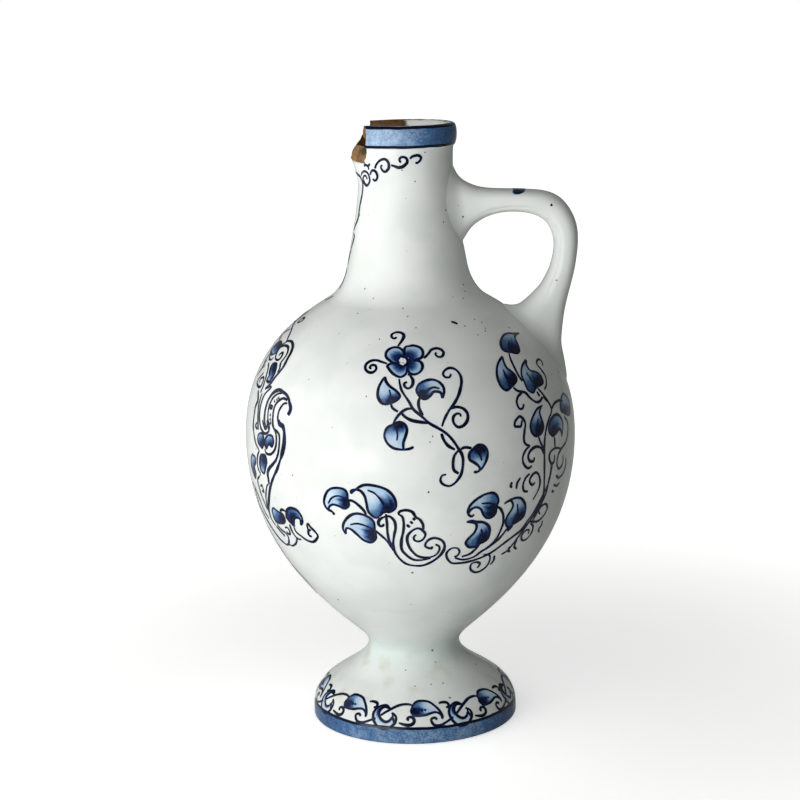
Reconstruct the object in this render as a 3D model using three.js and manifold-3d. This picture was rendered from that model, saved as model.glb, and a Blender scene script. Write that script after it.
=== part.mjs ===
// Tin-glazed jug: thrown foot, belly and neck, a pulled loop handle and the root of a broken pouring lip,
// luted together with slip before firing.
// Millimetres. Z is the thrown axis and the foot stands on z = 0. The handle points to +X, the lip to -X.
import * as THREE from 'three';
import { mergeVertices } from 'three/examples/jsm/utils/BufferGeometryUtils.js';
import Module from 'manifold-3d';

const wasm = await Module();
wasm.setup();

// Joints
const slip = 0.3; // film of slip in every luted joint
const spigotHeight = 3.5; // collar on the shoulder that the neck slips over
const spigotWidth = 3;
const bossDepth = 2.5; // boss under the belly that plugs the hollow stem of the foot

// Foot
const footHeight = 31.7; // standing ring to waist
const footRadius = 43;
const footWall = 5.5;
const footEdge = 1.2; // rounding of the standing ring
const bandHeight = 4; // upright edge below the dome
const waistRadius = 19.2;

// Belly
const bellyHeight = 146.3; // waist to neck seat
const bellyRadius = 68.5;
const girthShare = 0.614; // how far up the belly its girth lies
const bellyWall = 4.6;
const floorThickness = 9;
const flareRun = 8.2; // hollow flare above the waist
const flareRise = 10.3;

// Neck
const neckHeight = 72; // neck seat to rim
const collarRadius = 33.5;
const throatRadius = 19.3;
const neckWall = 4.2;
const rimRadius = 21.1;
const rimHeight = 9.4;
const rimWall = 5.2;

// Handle
const handleReach = 70.3; // axis to the back of the loop
const handleThickness = 9.8;
const handleWidth = 15.4;
const armRise = 39.5; // middle of the upper arm above the neck seat
const rootDrop = 14; // middle of the lower root below the neck seat
const upperFlare = 9.2; // growth of the strap's half thickness at each root
const upperFlareLength = 22;
const lowerFlare = 9;
const lowerFlareLength = 30;
const rootSpread = 1.4; // growth of the half width at both roots
const upperRootDepth = 9; // strap that runs on inside the neck until the saddle cut
const lowerRootDepth = 13; // and inside the belly

// Pouring lip
const lipHalfWidth = 13; // where the lip leaves the rim
const lipDrop = 25; // rim to the lowest point of the lip
const lipReach = 5; // how far the root would stand out at rim height
const lipWall = 3;
const breakDrop = 15.6; // rim to the bottom of the break
const breakReach = 21.8; // axis to the foremost point of the break
const breakRoughness = 0.35;

// Smoothness
const turns = 48; // facets around the axis
const strapSteps = 40;
const strapFacets = 18;

const waist = footHeight;
const seat = waist + bellyHeight;
const rimTop = seat + neckHeight;
const girth = waist + bellyHeight * girthShare;
const stemBore = waistRadius - footWall;

const at = (radius, height) => new THREE.Vector2(radius, height);
const along = (point, slope, length) => at(point.x + slope.x * length, point.y + slope.y * length);
const bend = (a, b, c, d, steps) => new THREE.CubicBezierCurve(a, b, c, d).getPoints(steps);
const join = (...runs) => runs.flat().filter((p, i, all) => i === 0 || p.distanceTo(all[i - 1]) > 1e-6);

// A thrown wall follows its outside at an even thickness. Positive distances lie inside.
function inset(points, distance) {
  return points.map((p, i) => {
    const before = points[Math.max(i - 1, 0)];
    const after = points[Math.min(i + 1, points.length - 1)];
    const tangent = after.clone().sub(before).normalize();
    return at(p.x - tangent.y * distance, p.y + tangent.x * distance);
  });
}

function radiusAt(points, height) {
  const i = Math.max(1, points.findIndex((p) => p.y >= height));
  const share = (height - points[i - 1].y) / (points[i].y - points[i - 1].y);
  return THREE.MathUtils.lerp(points[i - 1].x, points[i].x, share);
}

function turned(profile) {
  const lathe = new THREE.LatheGeometry(profile, turns);
  lathe.rotateX(Math.PI / 2);
  return solid(lathe);
}

function solid(geometry) {
  const bare = geometry.clone();
  bare.deleteAttribute('normal');
  bare.deleteAttribute('uv');
  const merged = mergeVertices(bare, 1e-4);
  const index = merged.index.array;
  const corners = [];
  for (let i = 0; i < index.length; i += 3) {
    const [a, b, c] = [index[i], index[i + 1], index[i + 2]];
    if (a !== b && b !== c && c !== a) corners.push(a, b, c);
  }
  const mesh = new wasm.Mesh({
    numProp: 3,
    vertProperties: new Float32Array(merged.attributes.position.array),
    triVerts: new Uint32Array(corners),
  });
  const body = new wasm.Manifold(mesh);
  return body.volume() < 0 ? new wasm.Manifold(flipped(mesh)) : body;
}

function flipped(mesh) {
  const triVerts = mesh.triVerts.slice();
  for (let i = 0; i < triVerts.length; i += 3) {
    [triVerts[i], triVerts[i + 1]] = [triVerts[i + 1], triVerts[i]];
  }
  return new wasm.Mesh({ numProp: 3, vertProperties: mesh.vertProperties, triVerts });
}

function piece(name, body, material) {
  const mesh = body.getMesh();
  const geometry = new THREE.BufferGeometry();
  geometry.setAttribute('position', new THREE.BufferAttribute(new Float32Array(mesh.vertProperties), 3));
  geometry.setIndex(new THREE.BufferAttribute(new Uint32Array(mesh.triVerts), 1));
  geometry.computeVertexNormals();
  const node = new THREE.Mesh(geometry, material);
  node.name = name;
  return node;
}

// Outside profiles, from the bottom up
const domeEnd = at(THREE.MathUtils.lerp(waistRadius, footRadius, 0.41), footHeight * 0.66);
const domeSlope = at(-1.58, 1);
const footDome = bend(
  at(footRadius, bandHeight),
  at(footRadius, footHeight * 0.41),
  along(domeEnd, domeSlope, -footHeight * 0.11),
  domeEnd,
  9,
);
const footStem = bend(
  domeEnd,
  along(domeEnd, domeSlope, footHeight * 0.126),
  at(waistRadius, footHeight * 0.89),
  at(waistRadius, footHeight),
  7,
);

const flareEnd = at(waistRadius + flareRun, waist + flareRise);
const flareSlope = at(1.15, 1);
const bellyFlare = bend(
  at(waistRadius, waist + slip),
  at(waistRadius, waist + flareRise * 0.3),
  along(flareEnd, flareSlope, -flareRise * 0.37),
  flareEnd,
  5,
);
const seatEdge = at(collarRadius, seat);
const shoulderSlope = at(-1.75, 1);
const bellyBowl = bend(
  flareEnd,
  along(flareEnd, flareSlope, (girth - flareEnd.y) * 0.25),
  at(bellyRadius, girth - (girth - flareEnd.y) * 0.45),
  at(bellyRadius, girth),
  12,
);
const bellyShoulder = bend(
  at(bellyRadius, girth),
  at(bellyRadius, girth + (seat - girth) * 0.478),
  along(seatEdge, shoulderSlope, -(seat - girth) * 0.23),
  seatEdge,
  10,
);

const neckFoot = at(THREE.MathUtils.lerp(throatRadius, collarRadius, 0.36), seat + neckHeight * 0.215);
const rimStart = rimTop - rimHeight;
const throat = at(throatRadius, rimStart - rimHeight * 0.9);
const neckFillet = bend(
  at(collarRadius, seat + slip),
  along(seatEdge, at(-1.6, 1), neckHeight * 0.045),
  along(neckFoot, at(-0.15, 1), -neckHeight * 0.083),
  neckFoot,
  6,
);
const neckTaper = bend(
  neckFoot,
  along(neckFoot, at(-0.17, 1), neckHeight * 0.16),
  at(throatRadius, throat.y - neckHeight * 0.22),
  throat,
  8,
);
const rimRoll = bend(
  at(throatRadius + 0.3, rimStart),
  at(rimRadius + 0.2, rimStart + rimHeight * 0.1),
  at(rimRadius + 0.3, rimStart + rimHeight * 0.7),
  at(rimRadius - 0.6, rimTop - 0.9),
  6,
);
const rimLip = bend(
  at(rimRadius - 0.6, rimTop - 0.9),
  at(rimRadius - 1.2, rimTop + 0.6),
  at(rimRadius - rimWall, rimTop + 0.6),
  at(rimRadius - rimWall, rimTop - rimHeight * 0.4),
  5,
);

// Foot: hollow pedestal, open at both ends
const footEdgeRound = bend(
  at(footRadius - footEdge, 0),
  at(footRadius - footEdge * 0.4, 0),
  at(footRadius, footEdge * 0.6),
  at(footRadius, footEdge),
  2,
);
const footOutside = join(footEdgeRound, footDome, footStem);
const footInside = inset(join(footDome, footStem), footWall).reverse();
const footProfile = join(
  footOutside,
  [at(stemBore, footHeight)],
  footInside.slice(1),
  [at(footRadius - footWall, 0), at(footRadius - footEdge, 0)],
);
const foot = turned(footProfile);

// Belly: closed floor with a boss below, a seat and a spigot for the neck above
const spigotRadius = collarRadius * 0.73;
const spigotTop = seat + spigotHeight;
const bellyInside = inset(join(bellyBowl, bellyShoulder), bellyWall).reverse();
const bowlFloor = bend(
  bellyInside.at(-1),
  at(bellyInside.at(-1).x * 0.7, waist + floorThickness * 1.18),
  at(bellyInside.at(-1).x * 0.4, waist + floorThickness),
  at(0, waist + floorThickness),
  4,
);
const bellyProfile = join(
  [at(0, waist - bossDepth), at(stemBore - slip, waist - bossDepth), at(stemBore - slip, waist + slip)],
  bellyFlare,
  bellyBowl,
  bellyShoulder,
  [at(spigotRadius, seat), at(spigotRadius, spigotTop), at(spigotRadius - spigotWidth, spigotTop)],
  [at(spigotRadius - spigotWidth, seat - bellyWall * 0.85)],
  bellyInside,
  bowlFloor,
);
const belly = turned(bellyProfile);

// Neck: a socket over the spigot, an even wall and a rolled rim
const neckOutside = join(neckFillet, neckTaper, rimRoll);
const socketTop = spigotTop + slip;
const neckInside = inset(join(neckFillet, neckTaper), neckWall)
  .filter((p) => p.y > socketTop + 0.5 && p.x < spigotRadius - spigotWidth)
  .reverse();
const neckProfile = join(
  neckOutside,
  rimLip,
  neckInside,
  [at(spigotRadius - spigotWidth, socketTop), at(spigotRadius + slip, socketTop)],
  [at(spigotRadius + slip, seat + slip), at(collarRadius, seat + slip)],
);
const wholeNeck = turned(neckProfile);

// The lip was luted over a notch cut in the rim, so both share one outline across the front
function notch(margin) {
  const outline = new THREE.Shape();
  const low = rimTop - lipDrop * 0.72 + margin;
  const half = lipHalfWidth - margin;
  outline.moveTo(-half, rimTop + rimHeight * 0.5);
  outline.lineTo(-half, rimTop - lipDrop * 0.3);
  outline.quadraticCurveTo(-half * 0.8, low, 0, low);
  outline.quadraticCurveTo(half * 0.8, low, half, rimTop - lipDrop * 0.3);
  outline.lineTo(half, rimTop + rimHeight * 0.5);
  const settings = { depth: rimRadius * 2, bevelEnabled: false, curveSegments: 6 };
  const slab = new THREE.ExtrudeGeometry(outline, settings);
  slab.applyMatrix4(new THREE.Matrix4().set(0, 0, 1, -rimRadius * 2.5, 1, 0, 0, 0, 0, 1, 0, 0, 0, 0, 0, 1));
  return solid(slab);
}

// Convex beak that widens from the front of the neck to the rim
function beak(wall) {
  const points = [];
  const ring = (x, y, z, radius) => {
    for (let i = 0; i < 12; i += 1) {
      const angle = (i * Math.PI) / 6;
      points.push([x + Math.cos(angle) * radius, y + Math.sin(angle) * radius, z]);
    }
  };
  const top = rimTop - lipWall * 0.4 + wall * 2;
  const lean = Math.sqrt(Math.max(1, rimRadius ** 2 - lipHalfWidth ** 2));
  const tip = lipReach * 1.2;
  const corner = lipWall * 0.8;
  const toe = lipWall * 1.2;
  ring(tip * 0.83 - throatRadius - lipReach, 0, top, tip - wall);
  for (const side of [-1, 1]) {
    ring(corner * 0.83 - lean, side * (lipHalfWidth - corner * 0.83), top, corner - wall * 0.7);
  }
  ring(toe * 1.1 - throatRadius, 0, rimTop - lipDrop + wall * 2.5, toe - wall);
  return wasm.Manifold.hull(points);
}

// Everything in front of the fracture, with a face that steps and rolls as broken earthenware does
function breakage() {
  const rows = 12;
  const columns = 14;
  const low = rimTop - breakDrop;
  const plane = new THREE.PlaneGeometry(1, 1, columns, rows);
  const spots = plane.attributes.position;
  const front = [];
  for (let i = 0; i < spots.count; i += 1) {
    const y = spots.getX(i) * lipHalfWidth * 2.6;
    const z = low + (spots.getY(i) + 0.5) * breakDrop * 1.39;
    const sweep = y < 0 ? -y * 0.45 : y * 0.2;
    const grain = Math.sin(y * 1.7 + z * 0.6) * Math.cos(z * 1.3 - y * 0.5);
    front.push([-breakReach + sweep + Math.max(0, z - low - lipWall) * 0.14 + grain * breakRoughness, y, z]);
  }
  const block = new THREE.BoxGeometry(1, 1, 1, 1, columns, rows);
  const corners = block.attributes.position;
  for (let i = 0; i < corners.count; i += 1) {
    const column = Math.round((corners.getY(i) + 0.5) * columns);
    const row = rows - Math.round((corners.getZ(i) + 0.5) * rows);
    const [x, y, z] = front[row * (columns + 1) + column];
    corners.setXYZ(i, corners.getX(i) > 0 ? x : -rimRadius * 2.5, y, z);
  }
  return solid(block);
}

const broken = breakage();
const thrown = turned(join([at(0, seat)], inset(neckOutside, -slip), [at(0, rimTop + slip)]));
const bore = turned(join(
  [at(0, seat), at(spigotRadius - spigotWidth, seat)],
  neckInside.slice().reverse(),
  [at(rimRadius - rimWall, rimTop - rimHeight * 0.4)],
  [at(rimRadius - rimWall, rimTop + rimHeight), at(0, rimTop + rimHeight)],
));
const neck = wholeNeck.subtract(notch(0)).subtract(broken);
const lipShell = beak(0).subtract(beak(lipWall)).subtract(bore);
const spoutRoot = lipShell
  .subtract(thrown)
  .add(lipShell.intersect(notch(slip)))
  .subtract(broken)
  .decompose()
  .sort((a, b) => b.volume() - a.volume())[0];

// Handle: a strap swept along the loop, swelling into both roots, saddle-cut to the neck and the belly
const bodyOutside = join(bellyFlare, bellyBowl, bellyShoulder, neckFillet, neckTaper, rimRoll);
const arm = seat + armRise;
const root = seat - rootDrop;
const back = handleReach - handleThickness / 2;
const armSpan = back - throatRadius;
const fall = arm - root;
const rootRadius = radiusAt(bodyOutside, root);
const loop = new THREE.CatmullRomCurve3(
  [
    [throatRadius - upperRootDepth, arm - fall * 0.034],
    [throatRadius, arm - fall * 0.026],
    [throatRadius + armSpan * 0.3, arm - fall * 0.011],
    [throatRadius + armSpan * 0.56, arm + fall * 0.002],
    [throatRadius + armSpan * 0.82, arm - fall * 0.055],
    [back - handleThickness * 0.08, arm - fall * 0.22],
    [back - handleThickness * 0.06, arm - fall * 0.38],
    [THREE.MathUtils.lerp(back, rootRadius, 0.34), arm - fall * 0.64],
    [rootRadius, root],
    [rootRadius - lowerRootDepth * 0.54, root - lowerRootDepth * 0.84],
  ].map(([x, z]) => new THREE.Vector3(x, 0, z)),
);
const loopLength = loop.getLength();

function swell(distance, flare, reach) {
  return flare * Math.max(0, 1 - Math.max(distance, -handleThickness * 0.3) / reach) ** 2;
}

function strap() {
  const positions = [];
  const index = [];
  const soft = (v) => Math.sign(v) * Math.abs(v) ** 0.85;
  for (let i = 0; i <= strapSteps; i += 1) {
    const share = i / strapSteps;
    const centre = loop.getPointAt(share);
    const tangent = loop.getTangentAt(share);
    const fromNeck = share * loopLength - upperRootDepth;
    const fromBelly = loopLength - lowerRootDepth - share * loopLength;
    const half = handleThickness / 2
      + swell(fromNeck, upperFlare, upperFlareLength) + swell(fromBelly, lowerFlare, lowerFlareLength);
    const wide = handleWidth / 2
      + swell(fromNeck, rootSpread, upperFlareLength) + swell(fromBelly, rootSpread, lowerFlareLength);
    for (let k = 0; k < strapFacets; k += 1) {
      const angle = (k * 2 * Math.PI) / strapFacets;
      const out = soft(Math.cos(angle)) * half;
      positions.push(centre.x - tangent.z * out, soft(Math.sin(angle)) * wide, centre.z + tangent.x * out);
    }
  }
  for (let i = 0; i < strapSteps; i += 1) {
    for (let k = 0; k < strapFacets; k += 1) {
      const a = i * strapFacets + k;
      const b = i * strapFacets + ((k + 1) % strapFacets);
      index.push(a, b, a + strapFacets, b, b + strapFacets, a + strapFacets);
    }
  }
  const last = strapSteps * strapFacets;
  for (let k = 1; k < strapFacets - 1; k += 1) {
    index.push(0, k + 1, k, last, last + k, last + k + 1);
  }
  const geometry = new THREE.BufferGeometry();
  geometry.setAttribute('position', new THREE.Float32BufferAttribute(positions, 3));
  geometry.setIndex(index);
  return solid(geometry);
}

const body = turned(join([at(0, waist)], inset(bodyOutside, -slip), [at(0, rimTop)]));
const handle = strap()
  .subtract(body)
  .decompose()
  .sort((a, b) => b.volume() - a.volume())[0];

const glaze = new THREE.MeshStandardMaterial({ name: 'tin_glaze', color: 0xe9eeea, roughness: 0.2 });
const clay = new THREE.MeshStandardMaterial({ name: 'bare_clay', color: 0x9a744c, roughness: 0.9 });

const jug = new THREE.Group();
jug.name = 'jug';
jug.add(
  piece('foot', foot, glaze),
  piece('belly', belly, glaze),
  piece('neck', neck, glaze),
  piece('spout_root', spoutRoot, clay),
  piece('handle', handle, glaze),
);

export default jug;
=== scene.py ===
"""Tin-glazed jug with cobalt painting, a loop handle and a broken pouring lip."""

import math

import bmesh
import bpy
import numpy as np
from mathutils import Matrix, Vector, noise

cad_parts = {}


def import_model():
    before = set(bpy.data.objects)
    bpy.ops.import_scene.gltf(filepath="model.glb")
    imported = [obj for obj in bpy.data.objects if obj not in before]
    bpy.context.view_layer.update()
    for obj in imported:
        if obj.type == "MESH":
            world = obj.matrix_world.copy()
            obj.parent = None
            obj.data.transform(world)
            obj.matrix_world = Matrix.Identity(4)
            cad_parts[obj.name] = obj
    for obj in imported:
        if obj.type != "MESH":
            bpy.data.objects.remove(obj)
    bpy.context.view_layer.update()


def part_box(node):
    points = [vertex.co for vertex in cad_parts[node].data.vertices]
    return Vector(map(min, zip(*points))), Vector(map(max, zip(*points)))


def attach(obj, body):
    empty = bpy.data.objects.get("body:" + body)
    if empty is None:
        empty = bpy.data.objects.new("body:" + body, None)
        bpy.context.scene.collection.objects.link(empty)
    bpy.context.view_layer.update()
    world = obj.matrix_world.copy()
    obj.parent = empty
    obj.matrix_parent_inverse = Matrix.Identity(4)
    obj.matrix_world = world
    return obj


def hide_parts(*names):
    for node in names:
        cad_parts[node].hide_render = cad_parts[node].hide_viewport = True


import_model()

MM = 0.001


def box_mm(node):
    return [[v / MM for v in corner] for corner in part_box(node)]


# Sizes in millimetres, the outer ones read from the frame
FOOT, BELLY, NECK = box_mm("foot"), box_mm("belly"), box_mm("neck")
FOOT_RADIUS, WAIST = FOOT[1][1], FOOT[1][2]
BELLY_RADIUS = BELLY[1][1]
COLLAR_RADIUS, SEAT, RIM_TOP = NECK[1][1], NECK[0][2], NECK[1][2]
WAIST_RADIUS = 19.2
THROAT_RADIUS = 19.3
RIM_RADIUS = 21.1
RIM_HEIGHT = 9.4
RIM_WALL = 5.2
FOOT_WALL = 5.5
FOOT_EDGE = 1.2
BELLY_WALL = 4.6
BELLY_FLOOR = 9
BOSS_DEPTH = 2.5
NECK_WALL = 4.2
COLLAR_INSIDE = COLLAR_RADIUS * 0.73
COLLAR_WALL = 3
COLLAR_DROP = 3.9
GIRTH = WAIST + (SEAT - WAIST) * 0.613
FLARE_OUT, FLARE_RISE = 8.2, 10.3
# Slopes of the outline, as change of radius per millimetre of height
DOME_SLOPE, FLARE_SLOPE = -1.58, 1.15
NECK_SLOPE_BELOW, NECK_SLOPE_ABOVE = -0.15, -0.17
SEAT_SLOPE, SEAT_EASE = -1.7, 0.25  # both sides of the neck joint run on in one line
TURNS = 288
WELD = 0.002 * MM
LEAN_STEP = 0.4
# Pocket in the broken lip; the clay in it also gets painted shade
HOLLOW = (-17.2, -9.5, RIM_TOP - 9.6)  # dark pocket in the broken lip

# Photograph: camera in millimetres and degrees, focal length in pixels of the 800 x 800 frame
FRAME_PX = 800
FOCAL_PX = 2184
CAMERA_BACK = 890
CAMERA_HEIGHT = 316.3
CAMERA_PITCH = 11.5
CAMERA_ROLL = -1.07
CAMERA_YAW = -0.26


# Thrown outline: each run is a curve between two ends with two handles, in radius and height
def bend(a, b, c, d, steps):
    t = np.linspace(0, 1, steps + 1)[:, None]
    a, b, c, d = (np.array(p, float) for p in (a, b, c, d))
    return a * (1 - t) ** 3 + 3 * b * t * (1 - t) ** 2 + 3 * c * t**2 * (1 - t) + d * t**3


def run_on(*runs):
    """Join runs and drop the points that they share."""
    points = np.vstack(runs)
    apart = np.r_[True, np.linalg.norm(np.diff(points, axis=0), axis=1) > 1e-4]
    return points[apart]


def inset(points, distance):
    """The inner side of a wall of even thickness."""
    tangent = np.gradient(points, axis=0)
    tangent /= np.linalg.norm(tangent, axis=1)[:, None]
    return points + distance * np.stack([-tangent[:, 1], tangent[:, 0]], axis=1)


def step(point, slope, length):
    """Handle that lies on a slope through a point, so much higher."""
    return (point[0] + slope * length, point[1] + length)


dome_end = (WAIST_RADIUS + (FOOT_RADIUS - WAIST_RADIUS) * 0.41, WAIST * 0.66)
foot_edge = bend(
    (FOOT_RADIUS - FOOT_EDGE, 0),
    (FOOT_RADIUS - 0.5, 0),
    (FOOT_RADIUS, 0.7),
    (FOOT_RADIUS, FOOT_EDGE),
    6,
)
foot_dome = bend(
    (FOOT_RADIUS, 4),
    (FOOT_RADIUS, WAIST * 0.41),
    step(dome_end, DOME_SLOPE, -WAIST * 0.11),
    dome_end,
    24,
)
foot_stem = bend(
    dome_end,
    step(dome_end, DOME_SLOPE, WAIST * 0.126),
    (WAIST_RADIUS, WAIST * 0.89),
    (WAIST_RADIUS, WAIST),
    16,
)
foot_outside = run_on(foot_edge, foot_dome, foot_stem)

flare_end = (WAIST_RADIUS + FLARE_OUT, WAIST + FLARE_RISE)
belly_flare = bend(
    (WAIST_RADIUS, WAIST),
    (WAIST_RADIUS, WAIST + 3.1),
    step(flare_end, FLARE_SLOPE, -3.8),
    flare_end,
    14,
)
rise = GIRTH - flare_end[1]
belly_bowl = bend(
    flare_end,
    step(flare_end, FLARE_SLOPE, rise * 0.25),
    (BELLY_RADIUS, GIRTH - rise * 0.45),
    (BELLY_RADIUS, GIRTH),
    60,
)
seat_edge = (COLLAR_RADIUS, SEAT)
fall = SEAT - GIRTH
belly_shoulder = bend(
    (BELLY_RADIUS, GIRTH),
    (BELLY_RADIUS, GIRTH + fall * 0.478),
    step(seat_edge, SEAT_SLOPE, -fall * 0.23),
    seat_edge,
    50,
)
belly_shoulder[-2] = step(seat_edge, SEAT_SLOPE, -SEAT_EASE)
belly_outside = run_on(belly_flare, belly_bowl, belly_shoulder)

neck_height = RIM_TOP - SEAT
neck_foot = (THROAT_RADIUS + (COLLAR_RADIUS - THROAT_RADIUS) * 0.36, SEAT + neck_height * 0.215)
rim_start = RIM_TOP - RIM_HEIGHT
throat = (THROAT_RADIUS, rim_start - RIM_HEIGHT * 0.9)
neck_fillet = bend(
    seat_edge,
    step(seat_edge, SEAT_SLOPE, neck_height * 0.045),
    step(neck_foot, NECK_SLOPE_BELOW, -neck_height * 0.083),
    neck_foot,
    20,
)
neck_fillet[1] = step(seat_edge, SEAT_SLOPE, SEAT_EASE)
neck_taper = bend(
    neck_foot,
    step(neck_foot, NECK_SLOPE_ABOVE, neck_height * 0.16),
    (THROAT_RADIUS, throat[1] - neck_height * 0.22),
    throat,
    30,
)
rim_foot = (THROAT_RADIUS + 0.3, rim_start)
rim_crown = (RIM_RADIUS - 0.6, RIM_TOP - 0.9)
rim_neck = bend(throat, (THROAT_RADIUS, throat[1] + 3), (THROAT_RADIUS, rim_start - 2), rim_foot, 8)
rim_roll = bend(
    rim_foot,
    (RIM_RADIUS + 0.2, rim_start + RIM_HEIGHT * 0.1),
    (RIM_RADIUS + 0.3, rim_start + RIM_HEIGHT * 0.7),
    rim_crown,
    18,
)
rim_lip = bend(
    rim_crown,
    (RIM_RADIUS - 1.2, RIM_TOP + 0.6),
    (RIM_RADIUS - RIM_WALL, RIM_TOP + 0.6),
    (RIM_RADIUS - RIM_WALL, RIM_TOP - RIM_HEIGHT * 0.4),
    16,
)
neck_outside = run_on(neck_fillet, neck_taper, rim_neck, rim_roll)
OUTLINE = run_on(foot_outside, belly_outside, neck_outside)


def smoothstep(low, high, value):
    t = np.clip((value - low) / (high - low), 0, 1)
    return t * t * (3 - 2 * t)


def radius_at(height):
    return np.interp(height, OUTLINE[:, 1], OUTLINE[:, 0])


def lean_at(height):
    """Change of radius per millimetre of height."""
    above, below = np.add(height, LEAN_STEP), np.subtract(height, LEAN_STEP)
    return (radius_at(above) - radius_at(below)) / (2 * LEAN_STEP)


def outward(points):
    """Unit normals of the thrown surface at points in millimetres."""
    points = np.asarray(points, float)
    around = points[:, :2] / np.linalg.norm(points[:, :2], axis=1)[:, None]
    normal = np.column_stack([around, -lean_at(points[:, 2])])
    return normal / np.linalg.norm(normal, axis=1)[:, None]


# Meshes
def mesh_object(name, points_mm, faces, finish=None):
    mesh = bpy.data.meshes.new(name)
    mesh.from_pydata((np.asarray(points_mm) * MM).tolist(), [], [tuple(f) for f in faces])
    mesh.validate()
    if finish:
        mesh.materials.append(finish)
    thing = bpy.data.objects.new(name, mesh)
    bpy.context.scene.collection.objects.link(thing)
    return thing


def grid_faces(rows, columns, around=False):
    a = np.arange(rows * columns).reshape(rows, columns)
    b = np.roll(a, -1, axis=1) if around else a[:, 1:]
    a = a if around else a[:, :-1]
    return np.stack([a[:-1], b[:-1], b[1:], a[1:]], axis=-1).reshape(-1, 4)


def smooth(thing, angle=40):
    """Weld a mesh, turn its faces outwards and keep only edges sharper than the angle."""
    mesh = thing.data
    fix = bmesh.new()
    fix.from_mesh(mesh)
    bmesh.ops.remove_doubles(fix, verts=fix.verts, dist=WELD)
    bmesh.ops.recalc_face_normals(fix, faces=fix.faces)
    fix.to_mesh(mesh)
    fix.free()
    mesh.shade_smooth()
    mesh.set_sharp_from_angle(angle=math.radians(angle))
    return thing


def turned(name, loop, finish, shape=None):
    """Lathe a closed loop of radius and height."""
    loop = np.vstack([loop, loop[:1]])
    angle = np.arange(TURNS) * 2 * math.pi / TURNS
    radius, height = loop[:, 0][:, None], loop[:, 1][:, None]
    level = np.broadcast_to(height, (len(loop), TURNS))
    points = np.stack([radius * np.cos(angle), radius * np.sin(angle), level], axis=-1).reshape(-1, 3)
    if shape:
        points = shape(points)
    return mesh_object(name, points, grid_faces(len(loop), TURNS, around=True), finish)


def make_plain(thing):
    """What the modifiers give becomes the object's own mesh."""
    rough = thing.data
    thing.data = bpy.data.meshes.new_from_object(thing.evaluated_get(bpy.context.evaluated_depsgraph_get()))
    thing.modifiers.clear()
    bpy.data.meshes.remove(rough)


# Shaders
class Value:
    """A node's socket that takes part in arithmetic."""

    def __init__(self, tree, socket):
        self.tree, self.socket = tree, socket

    def node(self, kind, inputs=None, output=0, **settings):
        made = self.tree.nodes.new(kind)
        for key, value in settings.items():
            setattr(made, key, value)
        for key, value in (inputs or {}).items():
            if isinstance(value, Value):
                self.tree.links.new(value.socket, made.inputs[key])
            else:
                made.inputs[key].default_value = value
        return Value(self.tree, made.outputs[output])

    def sum_up(self, operation, *values):
        return self.node("ShaderNodeMath", dict(enumerate(values)), operation=operation)

    def __add__(self, other):
        return self.sum_up("ADD", self, other)

    def __sub__(self, other):
        return self.sum_up("SUBTRACT", self, other)

    def __rsub__(self, other):
        return self.sum_up("SUBTRACT", other, self)

    def __mul__(self, other):
        return self.sum_up("MULTIPLY", self, other)

    __radd__, __rmul__ = __add__, __mul__

    def ramp(self, low, high):
        """0 below low, 1 above high, soft between."""
        return self.node(
            "ShaderNodeMapRange", {0: self, 1: low, 2: high, 3: 0.0, 4: 1.0}, interpolation_type="SMOOTHSTEP"
        )

    def band(self, low, high, edge):
        """1 between low and high, with soft edges."""
        return self.ramp(low - edge, low + edge) * (1 - self.ramp(high - edge, high + edge))

    def most(self, other):
        return self.sum_up("MAXIMUM", self, other)

    def mix(self, start, end):
        return self.node("ShaderNodeMix", {0: self, 6: start, 7: end}, output=2, data_type="RGBA")


def material(name, build):
    made = bpy.data.materials.new(name)
    made.use_nodes = True
    tree = made.node_tree
    shader = tree.nodes["Principled BSDF"]
    start = Value(tree, tree.nodes.new("ShaderNodeTexCoord").outputs["Object"])
    for socket, value in build(start).items():
        if isinstance(value, Value):
            tree.links.new(value.socket, shader.inputs[socket])
        else:
            shader.inputs[socket].default_value = value
    return made


def blotches(place, scale, detail=2.0):
    return place.node("ShaderNodeTexNoise", {"Vector": place, "Scale": scale, "Detail": detail})


def colour(*srgb):
    linear = [((c / 255 + 0.055) / 1.055) ** 2.4 if c > 10 else c / 255 / 12.92 for c in srgb]
    return (*linear, 1.0)


TIN_WHITE = colour(229, 232, 229)
TIN_SHADE = colour(221, 225, 221)
PINHOLE = colour(70, 64, 58)
STAIN = colour(196, 184, 160)
THICK_GLAZE = colour(208, 221, 217)
# Clay tones, and the painted shade for the pocket in the break
CLAY_LIGHT, CLAY_DARK, CLAY_PAINTED_SHADE = colour(146, 110, 70), colour(74, 50, 28), colour(66, 62, 40)
# Cobalt from a thin wash to a full brush: amount of ink and colour
COBALT = [
    (0.22, colour(168, 194, 218)),
    (0.5, colour(70, 107, 151)),
    (0.78, colour(18, 40, 92)),
    (1.0, colour(4, 8, 28)),
]
# Heights of the painted bands, their soft edges, and where the glaze pools and stains
FOOT_LINE, RIM_LINE, RIM_EDGE_LINE = 6.9, 241.8, 249.3
LINE_HALF, LINE_EDGE, BAND_EDGE = 0.58, 0.12, 0.15
THICK_LOW, THICK_HIGH = 26, 36
STAIN_LOW, STAIN_HIGH = 12, 34
STEM_EDGE = 4


def specks(place, scale, share, size):
    """Sparse round specks: one cell in so many carries one."""
    cells = place.node("ShaderNodeTexVoronoi", {"Vector": place, "Scale": scale})
    picked = place.node("ShaderNodeTexVoronoi", {"Vector": place, "Scale": scale}, output=1)
    chosen = place.node("ShaderNodeSeparateColor", {0: picked}).ramp(1 - share, 1.02 - share)
    return (1 - cells.ramp(size * 0.6, size)) * chosen


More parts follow.
